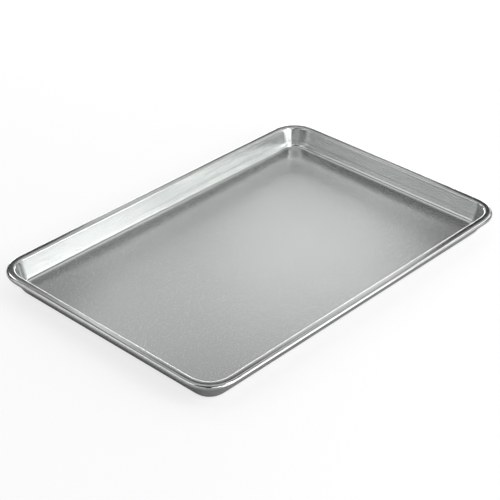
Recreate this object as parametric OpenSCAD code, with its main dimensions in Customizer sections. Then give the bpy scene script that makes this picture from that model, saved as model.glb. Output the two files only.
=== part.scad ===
// Jelly roll pan: a shallow tray drawn from one aluminium sheet, its rim rolled round a steel wire.
// Millimetres, +Z up. The long side runs along X. The origin is the centre of the flat base.

/* [Pan] */
// Length over the rolled rim
pan_l = 400; // [300:1:600]
// Width over the rolled rim
pan_w = 266.5; // [200:0.5:450]
// Height from the base to the top of the rim
pan_h = 21; // [18:0.5:40]
// Corner radius of the rim, seen from above
corner_r = 27.5; // [24:0.5:60]

/* [Sheet] */
// Thickness of the aluminium sheet
sheet_t = 1; // [0.8:0.1:1.2]
// How far the walls lean outwards from upright, in degrees
wall_lean = 15; // [5:1:20]
// Inside radius of the bend from the floor to the wall
floor_r = 4; // [3:0.5:6]
// Top radius of the bend from the wall to the flange
lip_r = 2; // [1.5:0.5:3]
// Width of the flat flange between the lip and the rolled bead
flange_w = 3.5; // [2:0.5:6]

/* [Rolled rim] */
// Diameter of the steel wire inside the bead
wire_d = 3.2; // [2.4:0.1:4]
// Clearance between the wire and the sheet rolled round it
wire_gap = 0.1; // [0.05:0.05:0.3]
// Slot left between the rolled edge and the flange, as an angle round the wire
roll_slot = 60; // [60:5:120]
// Gap where the two ends of the wire meet
wire_end_gap = 1; // [0.5:0.5:5]

/* [Hidden] */
$fn = 96;

// Largest step along the sheet's bends, in degrees
arc_step = 15;

// The bead, measured outwards from the axis of the rounded corner and up from the base
wire_r = wire_d / 2;
bead_r = wire_r + wire_gap + sheet_t;
bead_centre = [corner_r - bead_r, pan_h - bead_r];

// The bends above and below the wall, measured in the same way
lip_centre = [bead_centre[0] - flange_w, pan_h - lip_r];
wall_run = (pan_h - sheet_t) * tan(wall_lean);
setback = (lip_r + floor_r) * tan((90 - wall_lean) / 2);
floor_centre = [lip_centre[0] - wall_run - setback, sheet_t + floor_r];

// Distance from the middle of the pan to the corner axes
axis_x = pan_l / 2 - corner_r;
axis_y = pan_w / 2 - corner_r;

// Points on an arc, from one direction round to another
function arc(centre, r, from, to) =
    let (steps = ceil(abs(to - from) / arc_step))
    [for (i = [0:steps]) let (a = from + (to - from) * i / steps) centre + r * [cos(a), sin(a)]];

function reversed(points) = [for (i = [len(points) - 1:-1:0]) points[i]];

// One face of the sheet seen edge on, from the corner axis out to the rolled edge.
// The top face is at depth 0 and the underside at the sheet's thickness.
function sheet_face(depth) = concat(
    [[0, sheet_t - depth]],
    arc(floor_centre, floor_r + depth, -90, -wall_lean),
    arc(lip_centre, lip_r - depth, 180 - wall_lean, 90),
    arc(bead_centre, bead_r - depth, 90, roll_slot - 270)
);

// The whole sheet seen edge on
module sheet_section() {
    polygon(concat(sheet_face(0), reversed(sheet_face(sheet_t))));
}

// Carries a section round the pan: a quarter turn at each corner, then the straight side after it
module round_the_pan() {
    for (i = [0:3]) {
        x_side = (i == 0 || i == 3) ? 1 : -1;
        y_side = i < 2 ? 1 : -1;
        side_l = 2 * (i % 2 == 0 ? axis_x : axis_y);
        translate([x_side * axis_x, y_side * axis_y, 0]) {
            rotate(90 * i) rotate_extrude(angle = 90) children();
            rotate(90 * i + 90) translate([0, side_l, 0]) rotate([90, 0, 0])
                linear_extrude(side_l) children();
        }
    }
}

// One sheet: floor, leaning walls, flange and rolled edge
module pan_shell() {
    color("silver") {
        translate([-axis_x, -axis_y, 0]) cube([2 * axis_x, 2 * axis_y, sheet_t]);
        round_the_pan() sheet_section();
    }
}

// One steel rod bent to the shape of the rim, its ends meeting in the middle of the back
module rim_wire() {
    color("dimgray")
        difference() {
            round_the_pan() translate(bead_centre) circle(wire_r);
            translate([-wire_end_gap / 2, 0, 0]) cube([wire_end_gap, pan_w, pan_h]);
        }
}

pan_shell();
rim_wire();
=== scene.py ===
"""Looks of a jelly roll pan: its drawn aluminium sheet as a fine mesh, its finish, and a studio.

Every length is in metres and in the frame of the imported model: +X along the long side, +Z up,
and the origin at the centre of the flat base.
"""

import math

import bmesh
import bpy
from mathutils import Matrix, Vector


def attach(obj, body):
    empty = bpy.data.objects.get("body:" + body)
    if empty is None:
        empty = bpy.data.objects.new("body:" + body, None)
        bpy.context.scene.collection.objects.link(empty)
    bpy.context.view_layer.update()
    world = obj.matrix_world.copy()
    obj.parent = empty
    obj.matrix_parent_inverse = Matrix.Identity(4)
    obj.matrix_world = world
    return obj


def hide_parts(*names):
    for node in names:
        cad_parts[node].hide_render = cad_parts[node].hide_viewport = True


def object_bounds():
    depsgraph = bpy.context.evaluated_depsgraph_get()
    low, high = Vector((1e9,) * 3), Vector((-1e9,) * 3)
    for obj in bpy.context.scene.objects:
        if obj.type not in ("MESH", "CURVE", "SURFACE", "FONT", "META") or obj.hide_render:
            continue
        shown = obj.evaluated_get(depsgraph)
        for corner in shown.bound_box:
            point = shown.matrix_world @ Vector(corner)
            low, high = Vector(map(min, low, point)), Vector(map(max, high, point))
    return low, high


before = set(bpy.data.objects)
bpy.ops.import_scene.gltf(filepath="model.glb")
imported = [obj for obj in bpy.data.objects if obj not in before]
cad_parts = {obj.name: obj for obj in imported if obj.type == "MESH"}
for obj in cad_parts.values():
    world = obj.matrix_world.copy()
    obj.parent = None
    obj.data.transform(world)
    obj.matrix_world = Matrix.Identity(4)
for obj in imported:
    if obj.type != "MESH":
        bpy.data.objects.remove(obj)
cad_low, cad_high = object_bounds()

MM = 0.001

# The pan's outer size comes from the frame. The rest repeats the sheet's section.
PAN_L = cad_high.x - cad_low.x
PAN_W = cad_high.y - cad_low.y
PAN_H = cad_high.z - cad_low.z
CORNER_R = 27.5 * MM
SHEET_T = 1.0 * MM
WALL_LEAN = math.radians(15)
FLOOR_R = 4.0 * MM
LIP_R = 2.0 * MM
FLANGE_W = 3.5 * MM
BEAD_R = 2.7 * MM
ROLL_SLOT = math.radians(60)

# A drawn corner doesn't start to turn at once. Its curve builds up over this length.
CORNER_EASE = 16.0 * MM

# How finely the sheet is meshed
BEND_STEP = math.radians(7.5)
CORNER_STEPS = 30
EASE_STEPS = 5
CELL = 6.0 * MM
SECTION_STEP = 3.0 * MM
CREASE = math.radians(40)

# Steps that come out this little over a whole number are not made one more, points this close
# are one point, and corners of the mesh that agree to this many digits are welded.
STEP_SLACK = 1e-6
SAME_POINT = 1e-9
WELD_DIGITS = 7

# The metals' own colours
ALUMINIUM = (0.782, 0.80, 0.79)
STEEL = (0.50, 0.51, 0.53)

# The stretch of a noise's values that its finish uses
NOISE_LOW = 0.3
NOISE_HIGH = 0.7

# A quarter of a full turn, as the shader counts the direction of a brushed metal
QUARTER_TURN = 0.25

# How fine the spangle of the wire's zinc is
SPANGLE_PER_METRE = 500

# The studio floor's white, and how far it reaches from the pan. Where the camera or the metal sees
# it, a glow and a darker colour make up the white.
FLOOR_WHITE = 0.7
FLOOR_GLOW = 0.72
FLOOR_SEEN = 0.43
FLOOR_REACH = 60

# The grey card that keeps the white floor out of the metal's lower edges, painted shade that only the
# metal mirrors, how far it reaches past the rim, and how far it lies over the floor, which is less than
# the sheet's thickness
SHADE_CARD_GREY = 0.5
CARD_MARGIN = 150 * MM
CARD_LIFT = 0.1 * MM

# How bright the studio is where there is no lamp
STUDIO_DIM = 0.03

# Softboxes round the pan. Each has the direction of its centre, counted from +X towards +Y, the
# height of its centre, its width, and its depth from top to bottom, all in degrees as the pan sees
# them. The last value is its brightness, where 1 is the white of the floor.
LAMP_DISTANCE = 1.1
PANEL_WIDTH = 20
SOFTBOXES = {
    "far_sweep": (45, 10, 70, 12, 4.4),
    "far_core": (42, 35, 30, 16, 0.6),
    "far_spot": (37, 31, 14, 10, 0.32),
    "far_left_tower": (68, 45, 15, 20, 0.38),
    "far_right_box": (8, 49, 14, 18, 0.85),
    "far_right_tower": (8, 20, 16, 36, 0.62),
    "far_overhead": (40, 65, 50, 20, 0.75),
    "near_overhead": (220, 78, 60, 22, 0.68),
    "right_strip": (300, 35, 100, 10, 2.6),
    "right_tower": (285, 32, 10, 40, 4.4),
    "right_low_strip": (296, 6, 28, 10, 3.0),
    "front_right_low": (268, 6, 28, 12, 2.3),
    "near_low": (225, 8, 30, 14, 0.2),
    "near_mid": (240, 27, 20, 14, 1.7),
    "right_low": (308, 10, 24, 20, 0.85),
    "left_spot": (97, 37, 18, 12, 2.9),
    "left_box": (150, 40, 40, 18, 1.2),
    "left_low_strip": (170, 20, 80, 10, 1.2),
    "left_low": (140, 6, 14, 12, 0.27),
}

# The sheet's finishes, in the order of the mesh's materials
FLOOR, WALL, RIM = range(3)

# How far the underside lies from the top on the sheet's map, so that its marks are other ones
UNDERSIDE_SHIFT = 1.0


def arc(centre, radius, start, end):
    """Points on an arc of the section, from one direction round to another."""
    steps = max(1, math.ceil(abs(end - start) / BEND_STEP - STEP_SLACK))
    angles = [start + (end - start) * i / steps for i in range(steps + 1)]
    return [(centre[0] + radius * math.cos(a), centre[1] + radius * math.sin(a)) for a in angles]


def section_centres():
    """Centres of the bead, the lip and the floor bend, outwards from the corner's axis and up."""
    bead = (CORNER_R - BEAD_R, PAN_H - BEAD_R)
    lip = (bead[0] - FLANGE_W, PAN_H - LIP_R)
    wall_run = (PAN_H - SHEET_T) * math.tan(WALL_LEAN)
    setback = (LIP_R + FLOOR_R) * math.tan((math.pi / 2 - WALL_LEAN) / 2)
    floor = (lip[0] - wall_run - setback, SHEET_T + FLOOR_R)
    return bead, lip, floor


def sheet_face(depth):
    """One face of the sheet seen edge on, from the corner's axis out to the rolled edge.
    Each point says which finish starts there, and how far along the sheet it is."""
    bead, lip, floor = section_centres()
    spans = [
        (FLOOR, [(0.0, SHEET_T - depth), (floor[0], SHEET_T - depth)]),
        (WALL, arc(floor, FLOOR_R + depth, -math.pi / 2, -WALL_LEAN)),
        (RIM, arc(lip, LIP_R - depth, math.pi - WALL_LEAN, math.pi / 2)),
        (RIM, arc(bead, BEAD_R - depth, math.pi / 2, ROLL_SLOT - 1.5 * math.pi)),
    ]
    corners = []
    for finish, points in spans:
        if corners and math.dist(points[0], corners[-1][0]) < SAME_POINT:
            corners.pop()
        corners += [(point, finish) for point in points]
    face = [(corners[0][0], corners[0][1], 0.0)]
    for (point, finish), (ahead, _) in zip(corners, corners[1:]):
        start = face.pop()
        length = math.dist(point, ahead)
        cells = max(1, math.ceil(length / SECTION_STEP - STEP_SLACK))
        for k in range(cells + 1):
            share = k / cells
            x = point[0] + (ahead[0] - point[0]) * share
            z = point[1] + (ahead[1] - point[1]) * share
            face.append(((x, z), finish, start[2] + length * share))
    return face


def side_marks(length):
    """Places along a straight side, from 0 to its length, closer together next to the corners."""
    ease = CORNER_EASE / 2
    near = [ease * k / EASE_STEPS for k in range(EASE_STEPS)]
    cells = round((length - 2 * ease) / CELL)
    middle = [ease + (length - 2 * ease) * k / cells for k in range(cells + 1)]
    return near + middle + [length - mark for mark in reversed(near)]


def corner_inset(past):
    """How far inwards the walls and rim lie of a plain arc between plain straights, at a distance
    past the place where the arc would begin. The distance is negative on the straight. The bend
    builds up evenly from half the ease before that place to half the ease after it."""
    t = past + CORNER_EASE / 2
    if t <= 0:
        return 0.0
    if t >= CORNER_EASE:
        return CORNER_EASE ** 2 / (24 * CORNER_R)
    return t ** 3 / (6 * CORNER_R * CORNER_EASE) - max(0.0, past) ** 2 / (2 * CORNER_R)


def stations():
    """Places round the pan: the axis that the section turns about, its direction, the distance run
    along the rim, and the corner's inset there. The last place is the first one again."""
    ax, ay = PAN_L / 2 - CORNER_R, PAN_W / 2 - CORNER_R
    corners = [(ax, ay), (-ax, ay), (-ax, -ay), (ax, -ay)]
    bend = CORNER_R * math.pi / 2
    places = []
    run = 0.0
    for i, corner in enumerate(corners):
        for k in range(CORNER_STEPS):
            share = k / CORNER_STEPS
            past = bend * min(share, 1 - share)
            places.append((corner, math.pi / 2 * (i + share), run + bend * share, corner_inset(past)))
        run += bend
        ahead = corners[(i + 1) % 4]
        side = math.dist(ahead, corner)
        for mark in side_marks(side)[:-1]:
            share = mark / side
            spot = tuple(a + (b - a) * share for a, b in zip(corner, ahead))
            inset = corner_inset(-min(mark, side - mark))
            places.append((spot, math.pi / 2 * (i + 1), run + mark, inset))
        run += side
    places.append((corners[0], 0.0, run, corner_inset(0.0)))
    return places


def floor_quads(level):
    """A grid of faces between the four corner axes, on one face of the floor."""
    ax, ay = PAN_L / 2 - CORNER_R, PAN_W / 2 - CORNER_R
    xs = [mark - ax for mark in side_marks(2 * ax)]
    ys = [mark - ay for mark in side_marks(2 * ay)]
    for x, next_x in zip(xs, xs[1:]):
        for y, next_y in zip(ys, ys[1:]):
            yield [(x, y, level), (next_x, y, level), (next_x, next_y, level), (x, next_y, level)]


def placed(station, point):
    """A point of the section, in space. The corner's inset grows over the bend from the floor."""
    centre, angle, _, inset = station
    _, _, floor = section_centres()
    grown = min(1.0, max(0.0, (point[0] - floor[0]) / FLOOR_R))
    x = point[0] - inset * grown
    return (centre[0] + x * math.cos(angle), centre[1] + x * math.sin(angle), point[1])


def swept_quads():
    """The section carried round the pan, as quads with a finish and the sheet's own coordinates."""
    top = sheet_face(0.0)
    under = [(point, finish, run + UNDERSIDE_SHIFT) for point, finish, run in sheet_face(SHEET_T)]
    edge = [(top[-1][0], RIM, top[-1][2]), under[-1]]
    places = stations()
    for here, ahead in zip(places, places[1:]):
        for face in (top, under, edge):
            for (near, finish, across), (far, _, next_across) in zip(face, face[1:]):
                points = [placed(here, near), placed(ahead, near), placed(ahead, far), placed(here, far)]
                start, end = here[2], ahead[2]
                chart = [(start, across), (end, across), (end, next_across), (start, next_across)]
                yield finish, points, chart


def build_shell():
    """The sheet as one closed mesh. Its map runs along the rim and across the sheet, and over
    the floor it is the floor's own plan."""
    index, verts, faces, finishes, maps = {}, [], [], [], []

    def add(finish, points, chart):
        face, spots = [], []
        for point, spot in zip(points, chart):
            key = tuple(round(c, WELD_DIGITS) for c in point)
            if key not in index:
                index[key] = len(verts)
                verts.append(point)
            if index[key] not in face:
                face.append(index[key])
                spots.append(spot)
        faces.append(face)
        finishes.append(finish)
        maps.extend(spots)

    for finish, points, chart in swept_quads():
        add(finish, points, [p[:2] for p in points] if finish == FLOOR else chart)
    for level in (SHEET_T, 0.0):
        for points in floor_quads(level):
            add(FLOOR, points, [p[:2] for p in points])

    mesh = bpy.data.meshes.new("pan_sheet")
    mesh.from_pydata(verts, [], faces)
    layer = mesh.uv_layers.new(name="sheet")
    layer.uv.foreach_set("vector", [c for spot in maps for c in spot])
    mesh.polygons.foreach_set("material_index", finishes)
    mesh.polygons.foreach_set("use_smooth", [True] * len(faces))
    return mesh


def face_outwards(mesh):
    """Turns every face outwards and keeps the sheet's cut edge crisp."""
    work = bmesh.new()
    work.from_mesh(mesh)
    bmesh.ops.recalc_face_normals(work, faces=work.faces)
    for edge in work.edges:
        edge.smooth = edge.calc_face_angle() < CREASE
    work.to_mesh(mesh)
    work.free()


def shader(name, colour, roughness, metallic=1.0):
    """A node material with its principled shader set, which is metal unless it is told otherwise."""
    material = bpy.data.materials.new(name)
    material.use_nodes = True
    nodes = material.node_tree.nodes
    principled = nodes["Principled BSDF"]
    principled.inputs["Metallic"].default_value = metallic
    principled.inputs["Base Color"].default_value = (*colour, 1)
    principled.inputs["Roughness"].default_value = roughness
    return material, nodes, material.node_tree.links, principled


def sheet_noise(nodes, links, per_metre, across_per_metre, detail):
    """Noise on the sheet. Its first scale is along the plan, and its second is across the sheet, so
    that marks can run along the rim and close up all round."""
    place = nodes.new("ShaderNodeTexCoord")
    plan = nodes.new("ShaderNodeSeparateXYZ")
    links.new(place.outputs["Object"], plan.inputs[0])
    chart = nodes.new("ShaderNodeUVMap")
    chart.uv_map = "sheet"
    sheet = nodes.new("ShaderNodeSeparateXYZ")
    links.new(chart.outputs["UV"], sheet.inputs[0])
    join = nodes.new("ShaderNodeCombineXYZ")
    links.new(plan.outputs["X"], join.inputs["X"])
    links.new(plan.outputs["Y"], join.inputs["Y"])
    links.new(sheet.outputs["Y"], join.inputs["Z"])
    scale = nodes.new("ShaderNodeVectorMath")
    scale.operation = "MULTIPLY"
    scale.inputs[1].default_value = (per_metre, per_metre, across_per_metre)
    links.new(join.outputs[0], scale.inputs[0])
    noise = nodes.new("ShaderNodeTexNoise")
    noise.inputs["Scale"].default_value = 1.0
    noise.inputs["Detail"].default_value = detail
    links.new(scale.outputs[0], noise.inputs["Vector"])
    return noise.outputs[0]


def ranged(nodes, links, value, low, high, start=NOISE_LOW, end=NOISE_HIGH):
    """A value's stretch from start to end, as low to high."""
    node = nodes.new("ShaderNodeMapRange")
    node.inputs["From Min"].default_value = start
    node.inputs["From Max"].default_value = end
    node.inputs["To Min"].default_value = low
    node.inputs["To Max"].default_value = high
    links.new(value, node.inputs["Value"])
    return node.outputs[0]


def times(nodes, links, first, second):
    """The product of two values."""
    node = nodes.new("ShaderNodeMath")
    node.operation = "MULTIPLY"
    links.new(first, node.inputs[0])
    links.new(second, node.inputs[1])
    return node.outputs[0]


def tint(nodes, links, principled, colour, shade):
    """The metal's colour, made a little lighter and darker by a shade near 1."""
    node = nodes.new("ShaderNodeVectorMath")
    node.operation = "SCALE"
    node.inputs[0].default_value = colour
    links.new(shade, node.inputs["Scale"])
    links.new(node.outputs[0], principled.inputs["Base Color"])


def relief(nodes, links, principled, height, depth):
    """Fine relief, with its depth in metres."""
    node = nodes.new("ShaderNodeBump")
    node.inputs["Strength"].default_value = 1.0
    node.inputs["Distance"].default_value = depth
    links.new(height, node.inputs["Height"])
    links.new(node.outputs[0], principled.inputs["Normal"])


def brush(nodes, principled, links, anisotropy):
    """Reflections drawn out across marks that run along the rim."""
    tangent = nodes.new("ShaderNodeTangent")
    tangent.direction_type = "UV_MAP"
    tangent.uv_map = "sheet"
    links.new(tangent.outputs["Tangent"], principled.inputs["Tangent"])
    principled.inputs["Anisotropic"].default_value = anisotropy
    principled.inputs["Anisotropic Rotation"].default_value = QUARTER_TURN


def floor_finish():
    """Matte rolled sheet, with a fine grain and faint clouding."""
    material, nodes, links, principled = shader("pan_floor", ALUMINIUM, roughness=0.27)
    grain = sheet_noise(nodes, links, per_metre=1000, across_per_metre=1000, detail=2.0)
    clouds = sheet_noise(nodes, links, per_metre=25, across_per_metre=0, detail=2.0)
    shade = times(
        nodes,
        links,
        ranged(nodes, links, grain, low=0.988, high=1.012),
        ranged(nodes, links, clouds, low=0.985, high=1.01),
    )
    tint(nodes, links, principled, ALUMINIUM, shade)
    links.new(ranged(nodes, links, grain, low=0.265, high=0.275), principled.inputs["Roughness"])
    return material


def wall_finish():
    """Walls that the die has drawn: streaks along the rim, and here and there a clear draw line."""
    material, nodes, links, principled = shader("pan_wall", ALUMINIUM, roughness=0.22)
    brush(nodes, principled, links, anisotropy=0.3)
    streaks = sheet_noise(nodes, links, per_metre=6, across_per_metre=1100, detail=3.0)
    lines = sheet_noise(nodes, links, per_metre=1.5, across_per_metre=420, detail=0.0)
    shade = times(
        nodes,
        links,
        ranged(nodes, links, streaks, low=0.94, high=1.05),
        ranged(nodes, links, lines, low=1.0, high=0.86, start=0.66, end=0.76),
    )
    tint(nodes, links, principled, ALUMINIUM, shade)
    relief(nodes, links, principled, streaks, depth=0.002 * MM)
    return material


def rim_finish():
    """The bright rolled rim, with fine streaks and the slight waves of rolling."""
    material, nodes, links, principled = shader("pan_rim", ALUMINIUM, roughness=0.15)
    streaks = sheet_noise(nodes, links, per_metre=15, across_per_metre=1000, detail=2.0)
    waves = sheet_noise(nodes, links, per_metre=70, across_per_metre=70, detail=1.0)
    tint(nodes, links, principled, ALUMINIUM, ranged(nodes, links, streaks, low=0.96, high=1.03))
    relief(nodes, links, principled, waves, depth=0.03 * MM)
    return material


def steel():
    """Dull galvanised wire, with its spangle."""
    material, nodes, links, principled = shader("wire_steel", STEEL, roughness=0.4)
    place = nodes.new("ShaderNodeTexCoord")
    noise = nodes.new("ShaderNodeTexNoise")
    noise.inputs["Scale"].default_value = SPANGLE_PER_METRE
    noise.inputs["Detail"].default_value = 2.0
    links.new(place.outputs["Object"], noise.inputs["Vector"])
    spangle = noise.outputs[0]
    tint(nodes, links, principled, STEEL, ranged(nodes, links, spangle, low=0.9, high=1.08))
    links.new(ranged(nodes, links, spangle, low=0.34, high=0.48), principled.inputs["Roughness"])
    return material


def make_pan():
    """The pan: its dressed sheet in place of the solid one, and the wire's own solid with a finish."""
    mesh = build_shell()
    face_outwards(mesh)
    pan = bpy.data.objects.new("pan_sheet", mesh)
    bpy.context.scene.collection.objects.link(pan)
    for finish in (floor_finish(), wall_finish(), rim_finish()):
        mesh.materials.append(finish)
    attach(pan, "root")
    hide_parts("pan_shell")
    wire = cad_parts["rim_wire"]
    wire.data.materials.clear()
    wire.data.materials.append(steel())


def make_camera():
    """The photograph's viewpoint. The lens is known as a length in pixels of the photograph."""
    focal_px, frame_px = 1513.70, 500
    elevation, azimuth, roll = (math.radians(a) for a in (32.0735, -47.7037, 0.9043))
    target = Vector((3.716 * MM, 12.728 * MM, 0))
    distance = 1402.9 * MM
    back = Vector((
        math.sin(azimuth) * math.cos(elevation),
        -math.cos(azimuth) * math.cos(elevation),
        math.sin(elevation),
    ))
    right = Vector((0, 0, 1)).cross(back).normalized()
    up = back.cross(right)
    tilted_right = math.cos(roll) * right + math.sin(roll) * up
    tilted_up = math.cos(roll) * up - math.sin(roll) * right
    data = bpy.data.cameras.new("camera")
    data.lens = data.sensor_width * focal_px / frame_px
    camera = bpy.data.objects.new("camera", data)
    bpy.context.scene.collection.objects.link(camera)
    turn = Matrix((tilted_right, tilted_up, back)).transposed().to_4x4()
    camera.matrix_world = Matrix.Translation(target + back * distance) @ turn
    data.clip_start, data.clip_end = 0.05, 100.0
    bpy.context.scene.camera = camera


def seen_as_background(nodes, links):
    """1 for a ray that sees the background: the camera's own, or one that metal or glass sends on."""
    path = nodes.new("ShaderNodeLightPath")
    seen = path.outputs["Is Camera Ray"]
    for kind in ("Is Glossy Ray", "Is Transmission Ray"):
        either = nodes.new("ShaderNodeMath")
        either.operation = "MAXIMUM"
        links.new(seen, either.inputs[0])
        links.new(path.outputs[kind], either.inputs[1])
        seen = either.outputs[0]
    return seen


def stage_sheet(name, half_length, half_width, level, material):
    """A flat sheet of the studio, round the origin."""
    x, y = half_length, half_width
    mesh = bpy.data.meshes.new(name)
    corners = [(-x, -y, level), (x, -y, level), (x, y, level), (-x, y, level)]
    mesh.from_pydata(corners, [], [(0, 1, 2, 3)])
    mesh.materials.append(material)
    sheet = bpy.data.objects.new(name, mesh)
    bpy.context.scene.collection.objects.link(sheet)
    return sheet


def make_floor():
    """A plain white floor, lit by the lamps. Where the camera or the metal sees it, most of its
    white is a glow instead, so that the pan's shadow on it is a faint one. Behind the lamps only the
    glow is left, so a view from low down shows the far floor as a pale grey."""
    white = (FLOOR_WHITE,) * 3
    material, nodes, links, principled = shader("studio_floor", white, roughness=1.0, metallic=0.0)
    principled.inputs["Specular IOR Level"].default_value = 0.0
    principled.inputs["Emission Color"].default_value = (1, 1, 1, 1)
    seen = seen_as_background(nodes, links)
    glow = nodes.new("ShaderNodeMath")
    glow.operation = "MULTIPLY"
    glow.inputs[1].default_value = FLOOR_GLOW
    links.new(seen, glow.inputs[0])
    links.new(glow.outputs[0], principled.inputs["Emission Strength"])
    colour = nodes.new("ShaderNodeMix")
    colour.data_type = "RGBA"
    colour.inputs["A"].default_value = (*white, 1)
    colour.inputs["B"].default_value = (FLOOR_SEEN, FLOOR_SEEN, FLOOR_SEEN, 1)
    links.new(seen, colour.inputs["Factor"])
    links.new(colour.outputs["Result"], principled.inputs["Base Color"])
    stage_sheet("studio_floor", FLOOR_REACH, FLOOR_REACH, 0, material)


def make_shade_card():
    """A grey card under the pan, a little wider than it. It is painted shade: only the metal mirrors it,
    in place of the floor beside the pan, which gives the rim and the outer walls their dark edge, and
    the camera doesn't see it. It throws no shadow, and no light on the floor."""
    grey = (SHADE_CARD_GREY,) * 3
    material, _, _, principled = shader("shade_card", grey, roughness=1.0, metallic=0.0)
    principled.inputs["Specular IOR Level"].default_value = 0.0
    half_length, half_width = PAN_L / 2 + CARD_MARGIN, PAN_W / 2 + CARD_MARGIN
    card = stage_sheet("shade_card", half_length, half_width, CARD_LIFT, material)
    card.visible_camera = False
    card.visible_diffuse = False
    card.visible_shadow = False


def make_lamps():
    """The softboxes. Each is a band bent round the pan, made of flat panels that are all turned to
    the pan and as far from it. The camera doesn't see them, and the metal does."""
    for name, (direction, height, width, depth, brightness) in SOFTBOXES.items():
        turn, rise = math.radians(direction), math.radians(height)
        level, climb = math.cos(rise), math.sin(rise)
        middle = Vector((level * math.cos(turn), level * math.sin(turn), climb))
        along = Vector((-math.sin(turn), math.cos(turn), 0))
        up = middle.cross(along)
        count = math.ceil(width / PANEL_WIDTH)
        step = math.radians(width / count)
        for k in range(count):
            bend = step * (k - (count - 1) / 2)
            back = middle * math.cos(bend) + along * math.sin(bend)
            data = bpy.data.lights.new(f"{name}_{k}", "AREA")
            data.shape = "RECTANGLE"
            data.size = 2 * LAMP_DISTANCE * math.tan(step / 2)
            data.size_y = 2 * LAMP_DISTANCE * math.tan(math.radians(depth / 2)) * math.cos(bend)
            data.energy = brightness * math.pi * data.size * data.size_y
            lamp = bpy.data.objects.new(f"{name}_{k}", data)
            bpy.context.scene.collection.objects.link(lamp)
            facing = Matrix((up.cross(back), up, back)).transposed().to_4x4()
            lamp.matrix_world = Matrix.Translation(back * LAMP_DISTANCE) @ facing
            lamp.visible_camera = False


def make_world():
    """A dim studio where there is no lamp and no floor."""
    world = bpy.data.worlds.new("studio")
    world.use_nodes = True
    background = world.node_tree.nodes["Background"]
    background.inputs["Color"].default_value = (1, 1, 1, 1)
    background.inputs["Strength"].default_value = STUDIO_DIM
    bpy.context.scene.world = world


make_pan()
make_camera()
make_floor()
# Painted shade: a grey card that only the metal mirrors, darkening the rim and outer walls
make_shade_card()
make_lamps()
make_world()
bpy.context.scene.view_settings.view_transform = "Standard"
